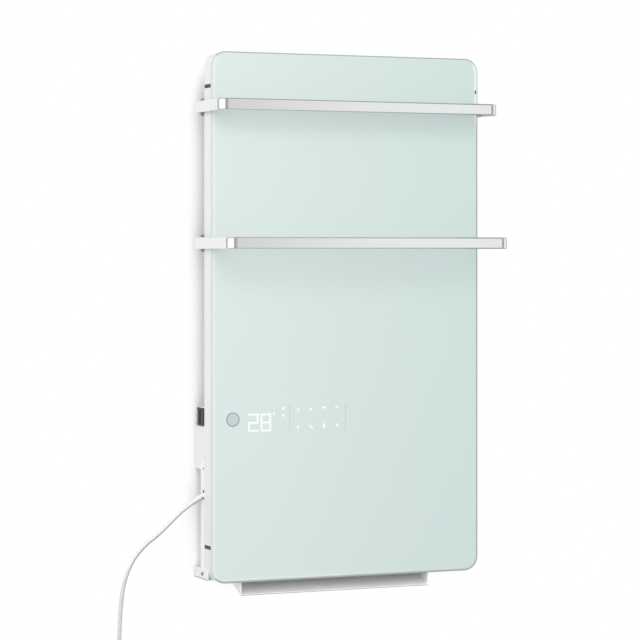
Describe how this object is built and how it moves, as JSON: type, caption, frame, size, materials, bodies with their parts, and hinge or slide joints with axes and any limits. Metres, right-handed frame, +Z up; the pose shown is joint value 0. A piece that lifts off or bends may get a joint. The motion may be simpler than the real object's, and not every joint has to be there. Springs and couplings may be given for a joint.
{
  "type": "glass panel heater",
  "caption": "Wall-hung electric panel heater with a mint glass front, flat-bar towel rails, touch controls and a fan heater blowing from a scoop at its foot.",
  "frame": {"origin": "middle of the wall plate's screw pattern, on the wall", "axes": "+X to the viewer's right, +Y into the wall, +Z up; the glass faces -Y"},
  "size_m": [0.6695, 0.1934, 1.167],
  "materials": {
    "mint_glass": "back-printed pale mint safety glass, polished edge",
    "white_metal": "white satin powder coat",
    "satin_rail": "satin silver anodised flat bar",
    "zinc_steel": "zinc plated sheet and screws",
    "white_plastic": "moulded white plastic",
    "grey_plastic": "moulded grey plastic",
    "black_plastic": "moulded black switch plastic",
    "amber_plastic": "heat resistant phenolic",
    "grey_rubber": "silicone gasket",
    "white_cord": "white flexible mains lead sheath",
    "board_green": "solder mask on a printed circuit board",
    "insulation": "mineral wool board",
    "heating_film": "heating film on mica",
    "bright_aluminium": "mill finish aluminium",
    "bronze": "sintered bronze bush",
    "nickel_pins": "nickel plated contact pins",
    "display_dark": "smoked display cover"
  },
  "bodies": {
    "heater": {"glass_front": "mint_glass", "glass_gasket": "grey_rubber", "front_frame": "white_metal", "rear_cover": "white_metal", "cover_screws": "zinc_steel", "upper_cross_bar": "zinc_steel", "lower_cross_bar": "zinc_steel", "hanger_backing": "zinc_steel", "hanger": "white_metal", "hanger_screws": "zinc_steel", "wall_plate": "white_metal", "upper_towel_rail": "satin_rail", "lower_towel_rail": "satin_rail", "upper_rail_standoffs": "grey_plastic", "lower_rail_standoffs": "grey_plastic", "rail_screws": "zinc_steel", "fan_box": "white_metal", "fan_box_screws": "zinc_steel", "inlet_grille": "white_plastic", "outlet_grille": "white_plastic", "outlet_scoop": "white_plastic", "fan_bearing": "bronze", "fan_motor": "zinc_steel", "fan_scroll": "zinc_steel", "ptc_frame": "amber_plastic", "ptc_core": "bright_aluminium", "fan_cutout": "amber_plastic", "room_sensor": "grey_plastic", "switch_box": "white_plastic", "switch_box_screws": "zinc_steel", "switch_body": "black_plastic", "terminal_block": "grey_plastic", "heating_panel": "heating_film", "reflector_sheet": "bright_aluminium", "insulation_board": "insulation", "panel_limiter": "amber_plastic", "board_carrier": "grey_plastic", "control_board": "board_green", "digit_display": "display_dark", "infrared_receiver": "display_dark", "touch_pad": "white_plastic", "board_posts": "white_plastic", "power_board": "board_green", "transformer": "amber_plastic", "relays": "grey_plastic", "filter_capacitor": "bright_aluminium", "left_bracket": "white_metal", "right_bracket": "white_metal", "bracket_screws": "zinc_steel", "cord_gland": "white_plastic", "power_cord": "white_cord", "cord_coil": "white_cord", "cord_tie": "white_plastic", "plug_body": "white_cord", "plug_pins": "nickel_pins"},
    "rocker": {"rocker": "black_plastic"},
    "fan_rotor": {"fan_rotor": "bright_aluminium", "fan_shaft": "zinc_steel"}
  },
  "joints": [
    {"name": "rocker_tilt", "type": "hinge", "parent": "heater", "child": "rocker", "pos_m": [-0.247, -0.0315, -0.4205], "axis": [0, 0, -1], "range_deg": [0, 19]},
    {"name": "fan_spin", "type": "hinge", "parent": "heater", "child": "fan_rotor", "pos_m": [-0.016, -0.054, -0.64], "axis": [1, 0, 0], "continuous": true}
  ]
}
